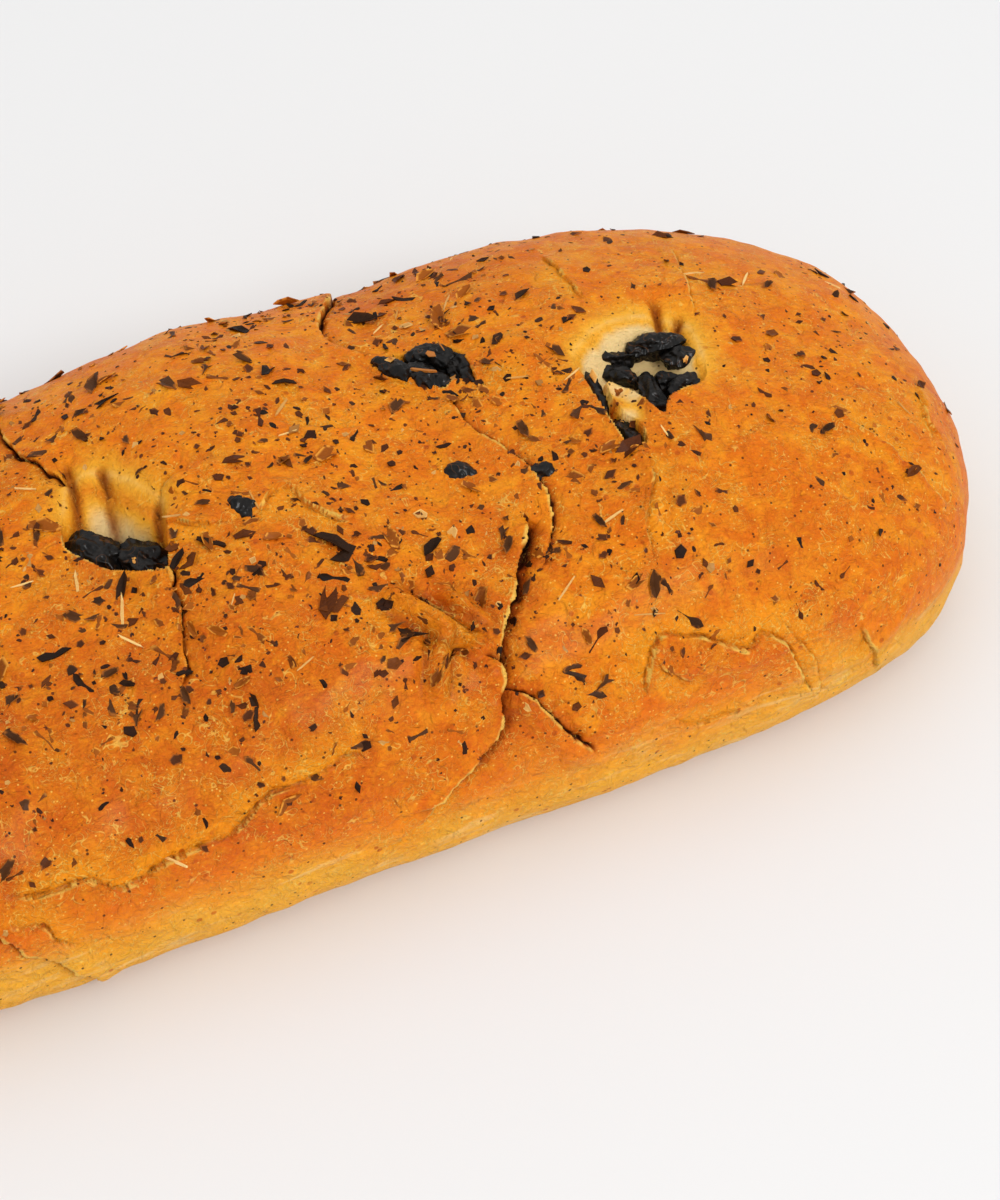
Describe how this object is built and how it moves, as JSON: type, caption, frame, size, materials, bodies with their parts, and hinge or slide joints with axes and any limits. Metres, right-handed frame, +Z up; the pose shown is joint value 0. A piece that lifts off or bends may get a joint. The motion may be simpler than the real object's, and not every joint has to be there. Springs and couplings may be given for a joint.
{
  "type": "olive loaf",
  "caption": "Long flattened bread loaf of lapped dough panels, with torn windows in the glazed crust that show black olives.",
  "frame": {"origin": "under the middle of the loaf, on the surface that it rests on", "axes": "+X along the loaf towards its free rounded end, -Y towards the near long side, +Z up"},
  "size_m": [0.32, 0.139, 0.0677],
  "materials": {
    "crust": "egg-washed golden bread crust, satin, with cream dough in the torn windows",
    "olive": "wrinkled black olive, glossy with oil",
    "herb_dark": "dried dark herb flakes under the glaze",
    "herb_brown": "dried brown herb flakes under the glaze",
    "herb_straw": "dried pale stalks and tan flakes"
  },
  "bodies": {
    "root": {"loaf": "crust", "olive_bit_left": "olive", "olive_bit_middle": "olive", "olive_bit_right": "olive", "olive_end_half": "olive", "olive_end_quarter": "olive", "olive_end_sliver": "olive", "olive_left_half": "olive", "olive_left_quarter": "olive", "olive_middle_back": "olive", "olive_middle_fold": "olive", "olive_middle_side": "olive", "olive_middle_strip": "olive", "olive_right_arc": "olive", "olive_right_chip": "olive", "olive_right_chunk": "olive", "olive_right_crescent": "olive", "olive_right_disc": "olive", "olive_right_hook": "olive", "olive_right_knot": "olive", "olive_right_sliver": "olive", "olive_right_tail": "olive"}
  },
  "joints": []
}
